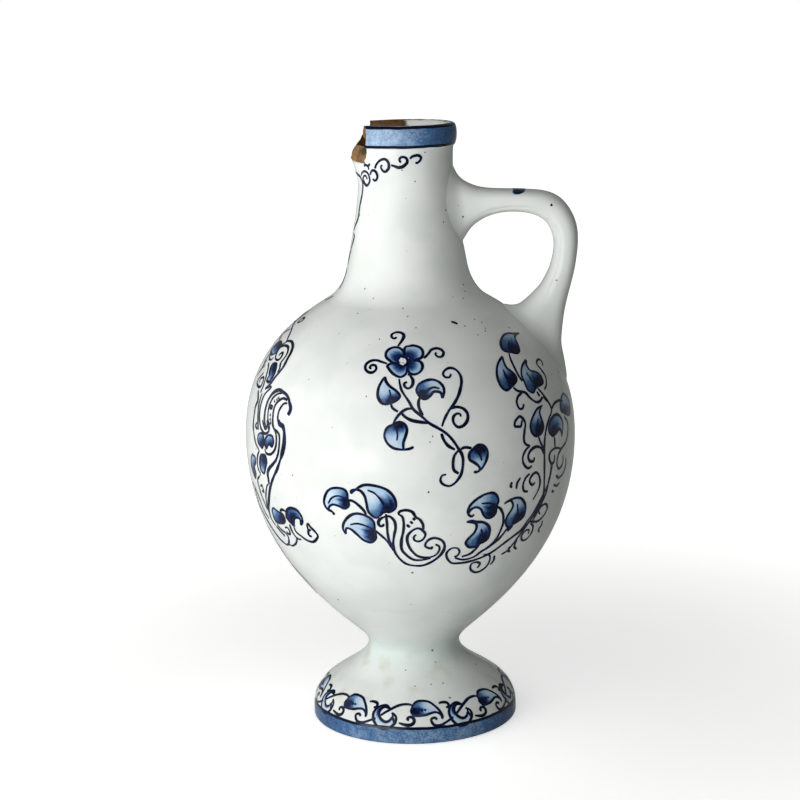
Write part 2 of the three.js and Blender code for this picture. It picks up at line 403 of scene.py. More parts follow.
def clay_tone(place):
    grain = blotches(place, 700, 5.0).ramp(0.3, 0.7)
    return (0.35 * grain + 0.65 * blotches(place, 160, 3.0).ramp(0.3, 0.7)).mix(CLAY_DARK, CLAY_LIGHT)


def tin_glaze(place):
    """White glaze with pinholes and stains, cobalt on it, and clay where it came off."""
    x, y, z = (place.node("ShaderNodeSeparateXYZ", {0: place}, output=i) * (1 / MM) for i in range(3))
    reach = place.sum_up("SQRT", x * x + y * y)
    white = blotches(place, 60).ramp(0.35, 0.7).mix(TIN_WHITE, TIN_SHADE)
    white = (z.band(THICK_LOW, THICK_HIGH, STEM_EDGE) * 0.75).mix(white, THICK_GLAZE)
    crowded = 0.35 + 0.65 * blotches(place, 14).ramp(0.5, 0.62)
    pits = specks(place, 130.0, 0.16, 0.085).most(specks(place, 330.0, 0.1, 0.13) * crowded)
    stains = blotches(place, 105, 4.0).ramp(0.48, 0.72) * z.band(STAIN_LOW, STAIN_HIGH, STEM_EDGE) * 0.45

    # Bands and lines of foot and rim, then the brush strokes, all as an amount of ink
    wobble = (blotches(place, 90) - 0.5) * 0.9
    level = z + wobble
    channel = (1 - x.ramp(-13, -12)) * (1 - place.sum_up("ABSOLUTE", y).ramp(9.5, 10.5))
    chip = y.ramp(4, 6) * z.ramp(RIM_TOP - 2.2, RIM_TOP - 1.8) * (1 - x.ramp(-10, -8))
    outside = reach.ramp(RIM_RADIUS - 2.6, RIM_RADIUS - 2.0) * (1 - channel.most(chip))
    fine, coarse = blotches(place, 1300, 3.0), blotches(place, 300, 3.0)
    mottle = 0.6 * fine.ramp(0.25, 0.75) + 0.4 * coarse.ramp(0.3, 0.7)
    rim_band = level.band(RIM_LINE, RIM_TOP + 2, BAND_EDGE) * outside
    bands = level.band(-1.0, FOOT_LINE, LINE_EDGE).most(rim_band)
    edges = level.band(FOOT_LINE - LINE_HALF, FOOT_LINE + LINE_HALF, LINE_EDGE)
    for line in (RIM_LINE, RIM_EDGE_LINE):
        edges = edges.most(level.band(line - LINE_HALF, line + LINE_HALF, LINE_EDGE) * outside)
    brushed = place.node("ShaderNodeAttribute", output=2, attribute_name="ink")
    # Ink of the bands: more towards the lip and handle sides of the foot; on the rim, painted light and
    # shade, paler on the lit left and darker on the shaded right
    on_rim = z.ramp(RIM_LINE - 9, RIM_LINE - 8)
    beside = place.sum_up("ABSOLUTE", x).ramp(24, 40)
    ink_depth = 0.34 + 0.16 * beside + on_rim * (0.26 * x.ramp(-8, 16) - 0.14)
    strokes = brushed * (0.72 + 0.56 * blotches(place, 800, 4.0))
    ink = (bands * (ink_depth + 0.22 * mottle)).most(edges).most(strokes)

    shade = place.node("ShaderNodeValToRGB", {0: ink})
    stops = shade.socket.node.color_ramp.elements
    while len(stops) < len(COBALT):
        stops.new(0.5)
    for stop, (where, tint) in zip(stops, COBALT):
        stop.position, stop.color = where, tint
    ground = stains.mix((pits * 0.85).mix(white, PINHOLE), STAIN)
    painted = ink.ramp(0.0, 0.22).mix(ground, shade)

    # Glaze worn off the top of the rim, and flaked off inside it beside the break
    frayed = blotches(place, 240, 3.0)
    crest = (z + frayed * 2.4).ramp(RIM_TOP + 0.9, RIM_TOP + 1.3)
    worn = crest * (1 - reach.ramp(RIM_RADIUS - 2.2, RIM_RADIUS - 1.6))
    upper = (z + frayed * 6).ramp(RIM_TOP - 2.5, RIM_TOP - 1.5)
    flaked = upper * (1 - (x + frayed * 8).ramp(3.5, 5.5)) * y.ramp(-2, 2)
    lip = (1 - (x + frayed).ramp(-12.5, -11)) * z.ramp(RIM_TOP - 16, RIM_TOP - 14)
    bare = worn.most(flaked.most(lip) * (1 - outside))

    turning = {"Vector": place, "Scale": 34.0, "Distortion": 1.5}
    rings = place.node("ShaderNodeTexWave", turning, bands_direction="Z")
    skin = rings * 0.25 + blotches(place, 130) * 0.8
    return {
        "Base Color": bare.mix(painted, clay_tone(place)),
        "Roughness": 0.09 + 0.10 * blotches(place, 50) + 0.7 * bare,
        "Specular IOR Level": 0.15,
        "Normal": place.node("ShaderNodeBump", {"Strength": 0.09, "Distance": 0.001, "Height": skin}),
    }


def bare_clay(place):
    """Rough clay of the break, with painted shade in its pocket."""
    offset = place.node("ShaderNodeVectorMath", {0: place, 1: [v * MM for v in HOLLOW]}, operation="SUBTRACT")
    depth = place.node("ShaderNodeVectorMath", {0: offset}, output=1, operation="LENGTH") * (1 / MM)
    # Painted shade in the pocket of the break
    hollow_shade = 1 - (depth + blotches(place, 400) * 1.5).ramp(2.6, 3.6)
    grain = blotches(place, 600, 6.0)
    return {
        "Base Color": hollow_shade.mix(clay_tone(place), CLAY_PAINTED_SHADE),
        "Roughness": 0.95,
        "Normal": place.node("ShaderNodeBump", {"Strength": 0.5, "Distance": 0.001, "Height": grain}),
    }


GLAZE = material("tin_glaze", tin_glaze)
CLAY = material("bare_clay", bare_clay)


# The photograph's camera
def look():
    """Directions ahead, to the right and up."""
    pitch, roll, yaw = (math.radians(v) for v in (CAMERA_PITCH, CAMERA_ROLL, CAMERA_YAW))
    ahead = np.array([math.sin(yaw) * math.cos(pitch), math.cos(yaw) * math.cos(pitch), -math.sin(pitch)])
    level = np.array([math.cos(yaw), -math.sin(yaw), 0])
    above = np.cross(level, ahead)
    right = level * math.cos(roll) + above * math.sin(roll)
    return ahead, right, np.cross(right, ahead)


AHEAD, RIGHT, UP = look()
EYE = np.array([0, -CAMERA_BACK, CAMERA_HEIGHT], float)


def rays(pixels):
    """Directions from the eye through pixels of the photograph."""
    offset = (np.asarray(pixels, float) - FRAME_PX / 2) / FOCAL_PX
    return AHEAD + offset[:, :1] * RIGHT - offset[:, 1:] * UP


# Pieces
def keep(piece, slot, *nodes):
    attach(piece, "root")
    if nodes:
        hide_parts(*nodes)


RING_LEVEL, RING_FLATNESS = 0.3, 0.7  # what of the foot is its bare standing ring
foot_inside = inset(run_on(foot_dome, foot_stem), FOOT_WALL)[::-1]
foot_loop = run_on(foot_outside, foot_inside, [(FOOT_RADIUS - FOOT_WALL, 0.0)])
foot = smooth(turned("glazed_foot", foot_loop, GLAZE))
foot.data.materials.append(CLAY)
for face in foot.data.polygons:
    if face.center.z < RING_LEVEL * MM and abs(face.normal.z) > RING_FLATNESS:
        face.material_index = 1
keep(foot, "tin_glaze", "foot")

belly_inside = inset(run_on(belly_bowl, belly_shoulder), BELLY_WALL)[::-1]
floor_edge = belly_inside[-1]
bowl_floor = bend(
    floor_edge,
    (floor_edge[0] * 0.7, WAIST + 10.6),
    (floor_edge[0] * 0.4, WAIST + BELLY_FLOOR),
    (0.01, WAIST + BELLY_FLOOR),
    12,
)
boss_radius = WAIST_RADIUS - FOOT_WALL
boss = [(0.01, WAIST - BOSS_DEPTH), (boss_radius, WAIST - BOSS_DEPTH), (boss_radius, WAIST)]
collar = [
    step((COLLAR_RADIUS - 0.05, SEAT), SEAT_SLOPE, SEAT_EASE * 2),
    (COLLAR_INSIDE, SEAT),
    (COLLAR_INSIDE - COLLAR_WALL, SEAT - COLLAR_DROP),
]
belly_loop = run_on(boss, belly_outside, collar, belly_inside, bowl_floor)
keep(smooth(turned("glazed_belly", belly_loop, GLAZE)), "tin_glaze", "belly")

# The root of the lip swells out of the front of the neck
LIP_FOOT, LIP_HEAD = RIM_TOP - 26, RIM_TOP - 12
LIP_SWELL, LIP_CURVE = 3.6, 1.7
LIP_SPREAD = 0.62


def swell_lip(points):
    """Push points of the neck out towards the lip."""
    angle = np.arctan2(points[:, 1], -points[:, 0])
    climb = np.clip((points[:, 2] - LIP_FOOT) / (LIP_HEAD - LIP_FOOT), 0, 1.25)
    push = LIP_SWELL * climb**LIP_CURVE * np.exp(-((angle / LIP_SPREAD) ** 2))
    points[:, 0] -= push * np.cos(angle)
    points[:, 1] += push * np.sin(angle)
    return points


# Face of the break, in millimetres: its near edge, how far it stands out behind that, and its lower edge
BREAK_EDGE, BREAK_EDGE_Y = -15.7, -14.0
BREAK_OUT, BREAK_OUT_LOW = 2.2, 3.9
BREAK_LOW = RIM_TOP - 15.8
BREAK_RISE = 0.16
BREAK_ROUGH, BREAK_GRAIN = 0.55, 0.2
BREAK_FAR = 3.4
POCKET_DEPTH = 2.4
CUTTER_SIDE, CUTTER_BACK = 24, -60
BREAK_ROWS, BREAK_COLUMNS = ((90, 110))


def broken_face():
    """Solid that cuts the neck, with the rough face of the break on its near side."""
    across = np.linspace(-CUTTER_SIDE, CUTTER_SIDE, BREAK_COLUMNS)
    yy, zz = np.meshgrid(across, np.linspace(BREAK_LOW, RIM_TOP + 6, BREAK_ROWS))
    spots = (Vector((y * BREAK_GRAIN, z * BREAK_GRAIN, 3.1)) for y, z in zip(yy.ravel(), zz.ravel()))
    rough = np.array([noise.fractal(spot, 0.8, 2.0, 5) for spot in spots]).reshape(yy.shape)
    behind = smoothstep(BREAK_EDGE_Y, BREAK_EDGE_Y + 11, yy)
    low = 1 - smoothstep(BREAK_LOW + 1, BREAK_LOW + 8, zz)
    pocket = POCKET_DEPTH * np.exp(-(((yy - HOLLOW[1]) / 3) ** 2) - ((zz - HOLLOW[2]) / 2.4) ** 2)
    far_chip = BREAK_FAR * smoothstep(2, 8, yy) * smoothstep(RIM_TOP - 9, RIM_TOP - 4, zz)
    stands_out = behind * (BREAK_OUT + BREAK_OUT_LOW * low)
    depth = BREAK_EDGE - stands_out + BREAK_ROUGH * rough + pocket + far_chip
    height = zz + 0.3 * rough + BREAK_RISE * np.clip(yy - BREAK_EDGE_Y, 0, 14)
    face = np.stack([depth, yy, height], axis=-1).reshape(-1, 3)
    away = face.copy()
    away[:, 0] = CUTTER_BACK
    count = len(face)
    front = grid_faces(BREAK_ROWS, BREAK_COLUMNS)
    edge = np.r_[
        np.arange(BREAK_COLUMNS),
        np.arange(2 * BREAK_COLUMNS - 1, count, BREAK_COLUMNS),
        np.arange(count - 2, count - BREAK_COLUMNS - 1, -1),
        np.arange(count - 2 * BREAK_COLUMNS, 0, -BREAK_COLUMNS),
    ]
    sides = [(a, b, b + count, a + count) for a, b in zip(edge, np.roll(edge, -1))]
    faces = [tuple(f) for f in front] + [tuple(f[::-1] + count) for f in front] + sides
    return smooth(mesh_object("break_cutter", np.vstack([face, away]), faces, CLAY), 180)


neck_inside = inset(run_on(neck_fillet, neck_taper), NECK_WALL)
neck_inside = neck_inside[neck_inside[:, 0] < COLLAR_INSIDE - COLLAR_WALL][::-1]
neck_loop = run_on(neck_outside, rim_lip, neck_inside, [(COLLAR_INSIDE - COLLAR_WALL, SEAT)])
neck = smooth(turned("glazed_neck", neck_loop, GLAZE, swell_lip))
cutter = broken_face()
cut = neck.modifiers.new("break", "BOOLEAN")
cut.object, cut.operation, cut.solver, cut.material_mode = cutter, "DIFFERENCE", "EXACT", "TRANSFER"
make_plain(neck)
bpy.data.objects.remove(cutter)
neck.data.set_sharp_from_angle(angle=math.radians(35))
keep(neck, "tin_glaze", "neck", "spout_root")

# Handle: a pulled strap between the two edges seen in the photograph, its roots smoothed on to the walls
HANDLE_THICK, HANDLE_WIDE = 9.8, 15.4
ROOT_FILLET = 4.5
STRAP_STEPS, STRAP_FACETS = ((220, 96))
GROOVE_DEPTH, GROOVE_PLACE, GROOVE_WIDTH = 0.5, -0.45, 0.13
HANDLE_EDGES = dict(
    corner=(440, 165),
    scale=8.7125,
    outer="85,-60 122,20 158,85 210,132 275,165 350,188 450,200 550,203 640,205 740,208 850,214 930,227"
    " 1000,252 1060,292 1110,346 1150,410 1180,482 1197,560 1201,640 1197,720 1186,810 1171,900 1150,990"
    " 1126,1080 1101,1180 1081,1280 1068,1380 1060,1470 1058,1532 1066,1594 1078,1652 1092,1732 1105,1821"
    " 1100,1899",
    inner="150,740 185,680 215,630 255,565 300,515 360,472 430,438 520,413 620,404 720,408 800,424 860,448"
    " 915,488 960,555 985,640 988,720 974,810 948,895 912,970 870,1040 815,1100 755,1158 705,1196 660,1214"
    " 610,1216 560,1210 500,1222 440,1245",
)


def path_through(points, count):
    """Points evenly spaced along a Catmull-Rom curve."""
    p = np.array(points, float)
    p = np.vstack([2 * p[0] - p[1], p, 2 * p[-1] - p[-2]])
    t = np.linspace(0, 1, 40, endpoint=False)[:, None]
    runs = [
        0.5 * (2 * b + (c - a) * t + (2 * a - 5 * b + 4 * c - d) * t**2 + (3 * b - a - 3 * c + d) * t**3)
        for a, b, c, d in zip(p, p[1:], p[2:], p[3:])
    ]
    fine = np.vstack([*runs, p[-2][None]])
    along = np.r_[0, np.cumsum(np.linalg.norm(np.diff(fine, axis=0), axis=1))]
    even = np.linspace(0, along[-1], count)
    return np.column_stack([np.interp(even, along, fine[:, i]) for i in range(fine.shape[1])])


def clear_of_wall(points):
    """Distance of points from the thrown surface."""
    radius = np.hypot(points[..., 0], points[..., 1])
    return (radius - radius_at(points[..., 2])) / np.sqrt(1 + lean_at(points[..., 2]) ** 2)


def read(motif, text):
    """Points of the photograph's frame from a motif's text."""
    points = np.array([[float(v) for v in pair.split(",")] for pair in text.split()])
    return np.array(motif["corner"]) + points / motif["scale"]


def edge_of_strap(key):
    """One edge of the strap, in the upright plane through the axis and the handle."""
    ray = rays(read(HANDLE_EDGES, HANDLE_EDGES[key]))
    return path_through((EYE + ray * (CAMERA_BACK / ray[:, 1:2]))[:, [0, 2]], STRAP_STEPS)


def strap():
    """Rings of points around the strap, from the root on the neck to the root on the belly."""
    outer, inner = edge_of_strap("outer"), edge_of_strap("inner")
    middle, across = (outer + inner) / 2, (outer - inner) / 2
    half = np.linalg.norm(across, axis=1)
    centre = np.column_stack([middle[:, 0], np.zeros(STRAP_STEPS), middle[:, 1]])
    height = clear_of_wall(centre)
    wide = HANDLE_WIDE / 2 + 0.12 * np.maximum(0, half - HANDLE_THICK / 2)
    angle = np.arange(STRAP_FACETS) * 2 * math.pi / STRAP_FACETS
    power = 0.8 + 0.25 * (1 - smoothstep(0, 6, height))[:, None]
    out, side = (np.sign(v) * np.abs(v) ** power for v in (np.cos(angle), np.sin(angle)))
    points = np.repeat(centre[:, None], STRAP_FACETS, axis=1)
    points[..., 0] += across[:, :1] * out
    points[..., 2] += across[:, 1:] * out
    free = smoothstep(8, 16, height)[:, None]
    groove = GROOVE_DEPTH * np.exp(-(((out - GROOVE_PLACE) / GROOVE_WIDTH) ** 2)) * free
    points[..., 1] += (wide[:, None] - groove) * side
    wall = radius_at(points[..., 2])
    sag = wall - np.sqrt(np.maximum(wall**2 - points[..., 1] ** 2, 1))
    points[..., 0] -= sag * (1 - smoothstep(0, 12, height))[:, None]
    clear = clear_of_wall(points)
    near = np.clip(clear, 0, ROOT_FILLET)
    points[..., 1] += side * (ROOT_FILLET - np.sqrt(ROOT_FILLET**2 - (ROOT_FILLET - near) ** 2))
    for _ in range(2):
        lifted = clear_of_wall(points) - clear
        points -= outward(points.reshape(-1, 3)).reshape(points.shape) * lifted[..., None]
    return points


def strap_object(points):
    faces = [tuple(f) for f in grid_faces(STRAP_STEPS, STRAP_FACETS, around=True)]
    last = (STRAP_STEPS - 1) * STRAP_FACETS
    faces += [tuple(range(STRAP_FACETS)), tuple(range(last, last + STRAP_FACETS))]
    return mesh_object("pulled_handle", points.reshape(-1, 3), faces, GLAZE)


STRAP = strap()
keep(smooth(strap_object(STRAP), 60), "tin_glaze", "handle")


# Painting: each motif was read off an enlargement of the photograph. "corner" is the upper left corner of the
# enlargement in the 800 x 800 frame and "scale" its enlargement. Lines run along the brush. Leaves run from
# base to tip, one side each. "dark" says how far a leaf's wash is filled with ink.
WASH_LIFT, LINE_LIFT = 0.05, 0.09
FINE, LINE, BOLD, HEAVY = 0.44, 0.6, 0.84, 1.15  # half widths of the brush
PALE_LEAF, DAB_INK = 0.1, 0.35
PHOTO_STEP = 0.8
LEAF_ROWS, LEAF_COLUMNS = ((36, 18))

CENTRE_SPRAY = dict(
    dark=0.25,
    corner=(360, 330),
    scale=9.2235,
    lines=[
        "441,290 427,324 393,338 359,324 345,290 359,256 393,242 427,256 441,290",
        "350,150 375,115 400,75 400,40 360,22 315,28 290,50 300,75 325,78 335,65",
        "590,262 625,225 655,185 700,170 745,180 770,210 755,245 720,248 695,225 705,208",
        "250,312 200,295 150,280 95,288 55,320 50,360 80,390 120,390 150,360 140,328 110,325 90,345"
        " 105,360",
        "440,405 470,430 488,470 480,515 445,540 415,525 408,495 435,480",
        "360,450 370,510 390,570 450,660 490,730 560,790 640,860 710,900 790,950 850,1010 905,1090"
        " 940,1150 950,1220 935,1320 890,1395 830,1438 770,1425 742,1390 755,1345 795,1332",
        "750,955 770,1010 810,1065 875,1105",
        "905,1110 870,1160 858,1220 865,1290 910,1325",
        "485,725 430,730 375,765 330,820 305,870",
        "640,860 560,850 480,835 420,805 385,770",
        "285,680 300,720 350,755",
        "580,790 545,720 540,660 560,610",
        "400,1106 460,1095 495,1078",
        "755,890 775,830 815,750 860,690 900,620 925,545 935,470 920,410 880,365 830,350 785,370 765,405"
        " 785,435 825,435 838,405",
        "840,725 890,710 950,725 990,770 990,830 955,880 905,895 865,860 858,810 885,775 920,775 930,800",
        "930,1098 975,1083 1030,1090",
        "350,275 365,250 395,245 425,258 440,285 432,315 405,335 370,330 350,305 350,275",
    ],
    dabs=[("380,306 368,290 378,268", "380,306 408,306 412,280 378,268")],
    petals=[
        ("393,290", "350,310 300,300 245,255 240,215 265,180 320,160 370,170 405,205 410,235"),
        ("393,290", "400,240 415,165 450,150 500,145 555,165 580,205 570,250 530,270 460,280"),
        ("393,290", "450,285 535,285 570,310 575,350 550,390 500,410 455,395 430,345"),
        ("393,290", "435,345 425,400 390,430 350,430 300,400 260,350 255,330 290,310 350,310"),
    ],
    leaves=[
        (
            "245,690 195,670 165,610 170,540 200,475 232,432",
            "245,690 320,660 365,610 330,560 275,520 240,475 232,432",
        ),
        (
            "310,870 250,905 225,970 250,1040 310,1090 400,1106",
            "310,870 360,850 410,870 432,920 420,980 400,1040 400,1106",
        ),
        (
            "530,590 520,550 545,500 600,470 660,458 720,475 765,520 775,570 760,630",
            "530,590 570,630 610,635 650,605 680,570 730,572 750,590 760,630",
        ),
    ],
    ribs=["600,592 630,550 680,530 735,540", "262,650 280,600 270,550", "330,900 345,960 340,1020"],
)

RIGHT_SPRAY = dict(
    dark=0.5,
    corner=(430, 340),
    scale=10.453,
    lines=[
        "325,1135 370,1122 430,1130",
        "500,1380 455,1380",
        "1195,520 1215,460 1205,380 1160,310 1115,250 1125,205 1160,215 1180,270",
        "1130,510 1180,570 1230,640 1265,710 1265,760 1240,830 1215,920 1200,1020 1195,1120 1195,1300"
        " 1193,1463 1183,1620 1140,1725 1070,1850 985,1970 900,2085 811,2197 744,2240",
        "870,495 910,530 960,540 1000,555 1050,610 1110,650 1150,635 1175,595",
        "960,550 920,590 905,650 930,715 965,715 980,670",
        "1115,540 1145,590",
        "1180,590 1230,645",
        "1130,1000 1150,1060 1175,1120 1190,1190",
        "960,840 950,900 920,905 885,900 890,850 935,800 975,830 995,880 985,960 980,1040 1000,1090"
        " 1045,1105",
        "1045,1105 1000,1150 970,1220 975,1290 1020,1340 1065,1315",
        "1190,1190 1160,1130 1110,1115 1055,1150 1025,1210 1040,1265 1080,1265 1090,1225",
        "1300,1015 1305,1120",
        "1270,720 1300,660 1350,630 1385,640",
        "1400,800 1435,860 1440,960 1420,1060 1370,1140 1340,1200 1325,1290 1345,1345 1385,1290 1390,1200",
        "1370,1135 1310,1130 1260,1170 1245,1230 1265,1290 1295,1270 1300,1200",
        "1265,1300 1255,1400 1240,1463 1220,1570 1190,1650 1130,1780 1050,1925",
        "1420,1230 1415,1320 1385,1400 1340,1440 1315,1415",
    ],
    leaves=[
        (
            "450,1135 410,1190 415,1250 460,1280 500,1310 520,1345 500,1380",
            "450,1135 500,1100 560,1105 600,1160 590,1250 550,1330 500,1380",
        ),
        (
            "855,485 800,525 745,490 705,400 697,310 712,240 755,170",
            "855,485 900,430 895,380 850,330 800,290 770,230 755,170",
        ),
        (
            "1100,500 1075,550 1020,520 985,440 955,360 960,280 1000,205",
            "1100,500 1175,450 1160,380 1110,335 1050,320 1010,270 1000,205",
        ),
        (
            "1100,1010 1060,960 1050,880 1080,790 1120,720 1175,685",
            "1100,1010 1160,980 1185,910 1165,830 1145,760 1160,700 1175,685",
        ),
        (
            "1280,1010 1240,950 1255,850 1300,785 1350,790 1385,860 1385,940 1375,1010",
            "1280,1010 1320,970 1350,930 1370,960 1375,1010",
        ),
        (
            "1365,740 1360,690 1365,640 1375,590 1395,555",
            "1365,740 1440,780 1462,760 1462,700 1440,610 1395,555",
        ),
    ],
    ribs=[
        "860,490 820,440 785,370 765,310",
        "1130,510 1080,450 1040,390 1005,340",
        "1130,980 1120,900 1130,820",
        "470,1150 520,1200 540,1260",
    ],
)

TOP_LEAF = dict(
    dark=0.7,
    corner=(480, 320),
    scale=15.68,
    lines=["450,515 480,620 530,730 590,850 660,960"],
    leaves=[
        (
            "500,515 370,480 325,400 330,310 370,240 440,210 540,215 610,205",
            "500,515 580,520 610,480 600,410 570,340 545,280 560,235 610,205",
        ),
    ],
    ribs=["470,480 450,400 455,340"],
)

LOWER_LEFT_SPRAY = dict(
    corner=(310, 470),
    scale=10.453,
    lines=[
        "240,440 255,470",
        "405,315 450,325 510,370 560,420 590,465",
        "680,630 740,680 800,735 850,800 900,870",
        "795,460 805,560 810,650 830,740 880,830",
        "770,490 725,520 715,560 735,585 765,580 768,560",
        "770,490 830,485 880,530 895,600 880,680 870,770 885,850",
        "880,850 940,930 1020,985 1150,1000 1250,970 1340,910 1395,840 1405,780 1370,730 1300,710 1240,730"
        " 1205,775 1215,805 1270,820 1275,795",
        "1310,775 1350,800 1345,850 1300,895 1220,915 1130,900 1060,840 1020,760 1020,690 1060,640"
        " 1120,610 1170,625 1205,670 1185,720 1140,745 1095,735 1085,700 1110,675",
        "920,460 965,490 980,560 975,640 955,740 960,830 1010,890 1080,935 1170,940 1260,920",
        "920,460 945,430 1010,420 1070,440 1105,490 1150,520 1180,570 1185,620",
        "1075,500 1100,525",
        "1045,535 1075,560",
        "1010,570 1045,600",
    ],
    leaves=[
        (
            "395,310 385,235 340,195 250,188 190,215 155,280 150,350 185,410 240,440",
            "395,310 405,350 400,380 360,400 300,375 240,360 205,380 200,410 240,440",
        ),
        (
            "730,480 690,500 640,470 605,420 590,340 570,270 530,220 480,205 430,215 428,247",
            "730,480 780,430 830,440 890,400 895,330 860,260 790,200 680,165 580,155 510,180 428,247",
        ),
        (
            "680,625 665,540 600,485 500,455 420,475 360,540 345,610 375,670",
            "680,625 690,710 640,755 560,730 490,670 430,620 380,610 375,670",
        ),
    ],
    ribs=[
        "370,300 300,270 230,290 190,350",
        "775,430 770,370 730,300 670,240 600,210",
        "680,630 600,590 500,560 420,570",
    ],
)

LOWER_RIGHT_SPRAY = dict(
    dark=0.3,
    corner=(430, 460),
    scale=12.06,
    lines=[
        "1475,60 1440,230 1400,340 1330,480 1240,640 1170,740 1090,850 1000,920 880,1010 760,1100 640,1165"
        " 500,1215 380,1240 260,1240 205,1180 200,1120 250,1070 320,1060 355,1100 330,1150 290,1165",
        "300,1180 400,1200 520,1170 620,1100 720,1040 830,950 930,830 1000,790",
        "455,655 500,680 530,655",
        "805,560 850,590 880,660 880,760 840,870 790,960 720,1030 640,1090",
        "600,1010 560,1060 480,1130 380,1165",
        "1000,775 970,820 930,860",
        "640,1145 710,1140 720,1200 680,1280 600,1340 530,1350 485,1310 500,1250 560,1230 600,1250"
        " 570,1300",
        "775,1150 765,1210 725,1260",
        "960,1040 945,1085 960,1110",
        "1045,960 1015,1040 1040,1075",
        "1210,760 1240,800 1220,880 1160,955 1110,965 1100,920 1140,860 1190,840 1185,890",
        "1200,740 1290,740 1360,680 1410,590 1400,530 1350,550 1310,610 1325,655",
        "1355,730 1340,790 1310,830 1315,870",
        "990,265 970,310 990,330",
        "1090,210 1050,280 1040,350",
        "1200,165 1150,220 1120,300 1130,370 1180,380",
        "1240,480 1300,370 1325,270 1310,180 1270,150 1220,200 1200,260 1230,300 1265,270",
        "1530,185 1550,230",
        "1490,300 1530,310 1560,270",
        "1465,370 1490,385",
        "882,1115 890,1125",
    ],
    leaves=[
        (
            "805,560 825,490 800,420 740,395 650,420 560,475 490,540 455,610 455,655",
            "805,560 790,640 740,690 680,695 640,650 610,590 550,570 490,600 455,655",
        ),
        (
            "1000,775 950,810 920,790 910,740 930,680 980,600 1000,540 970,490 895,525",
            "1000,775 1050,745 1120,690 1145,620 1145,530 1100,465 1040,455 960,485 895,525",
        ),
        (
            "600,1010 540,1045 470,1050 430,1000 460,950 530,880 560,810 545,760 440,745",
            "600,1010 690,950 720,860 700,790 640,750 560,745 500,730 440,745",
        ),
    ],
    ribs=["790,545 720,520 620,525", "970,820 1040,700 1055,620 1050,530", "600,1010 630,900 615,830"],
)

LEFT_FRAME_TOP = dict(
    dark=0.9,
    corner=(240, 310),
    scale=13.0667,
    lines=[
        "755,170 775,140 830,100 835,120 800,150 755,170",
        "690,200 665,280 630,360 600,420 560,450 500,520 470,590 465,640",
        "650,250 560,310 510,400",
        "460,640 480,570 530,490 590,465 630,490 620,560 580,630 535,690 520,760 490,820",
        "465,640 490,655 520,640 550,600 560,560 530,570 510,600",
        "375,690 370,760 350,840 335,900 310,980 270,1080",
        "350,920 375,945 400,920 410,880",
        "400,560 385,640 410,650 440,620",
        "385,580 345,640 315,700",
        "355,650 320,700 290,750",
        "330,720 260,800 230,860",
        "310,820 260,880 225,950 240,1000 270,1000 300,940 310,880 270,900 255,950",
        "330,1030 400,1000 405,1020 360,1060 320,1110 290,1180 265,1280 255,1400 265,1500 275,1568",
        "290,1090 255,1200 240,1300 235,1420 240,1568",
        "560,1085 500,1095 440,1140 400,1210 375,1290 365,1400 370,1500 375,1568",
        "620,1180 570,1155 510,1185 465,1240 440,1310 430,1400 430,1480 445,1560",
        "620,1220 575,1225 530,1280 505,1340 495,1410 505,1470 550,1510",
        "405,1240 425,1260 410,1290 395,1270 405,1240",
    ],
    bold=[
        "600,415 640,405 680,420 690,480 665,560 620,640 570,740 510,820 460,880 400,960 330,1030",
        "650,1230 640,1170 610,1110 560,1070 510,1045 440,1080 380,1160 345,1250 325,1350 320,1450"
        " 335,1540",
        "240,1050 235,1180 205,1260 185,1380 175,1500 178,1568",
    ],
    heavy=["648,1215 662,1270 655,1320 628,1375"],
    dots="510,1140 485,1160 455,1185 398,1365 397,1420 400,1470",
    leaves=[
        ("540,410 500,420 430,490 405,550 420,590", "540,410 540,450 520,500 470,560 420,590"),
        (
            "460,690 420,710 390,790 385,850 350,920 370,945",
            "460,690 480,710 470,780 440,860 390,930 370,945",
        ),
    ],
)

